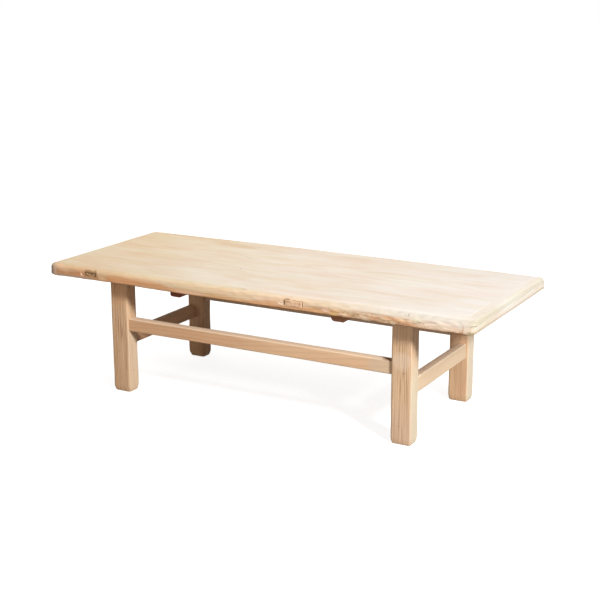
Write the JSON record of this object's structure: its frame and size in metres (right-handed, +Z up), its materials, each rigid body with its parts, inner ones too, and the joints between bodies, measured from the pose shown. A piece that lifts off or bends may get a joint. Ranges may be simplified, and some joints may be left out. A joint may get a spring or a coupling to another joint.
{
  "type": "kang table",
  "caption": "Low rectangular table of pale old elm, with a thick board top, square legs and mortised rails, to sit on the floor at.",
  "frame": {"origin": "on the floor, under the middle of the top", "axes": "+X along the length to the right of someone facing the front, +Y towards the back, +Z up"},
  "size_m": [1.525, 0.612, 0.43],
  "materials": {
    "elm_boards": "worn, dry, lightly brushed",
    "elm_legs": "wire-brushed, dry",
    "elm_rails": "planed, dry",
    "batten_wood": "rough sawn, dark",
    "patch_wood": "rough",
    "bamboo": "split and shaved",
    "wedge_wood": "sawn"
  },
  "bodies": {
    "root": {"top_board_front": "elm_boards", "top_board_middle": "elm_boards", "top_board_back": "elm_boards", "end_cap_left": "elm_boards", "end_cap_right": "elm_boards", "leg_front_left": "elm_legs", "leg_front_right": "elm_legs", "leg_back_left": "elm_legs", "leg_back_right": "elm_legs", "long_rail_front": "elm_rails", "long_rail_back": "elm_rails", "side_rail_left": "elm_rails", "side_rail_right": "elm_rails", "batten_left": "batten_wood", "batten_right": "batten_wood", "mortise_stub": "patch_wood", "mortise_plug": "patch_wood", "board_pins": "bamboo", "long_rail_pins": "bamboo", "side_rail_pins": "bamboo", "leg_tenon_wedges": "wedge_wood"}
  },
  "joints": []
}
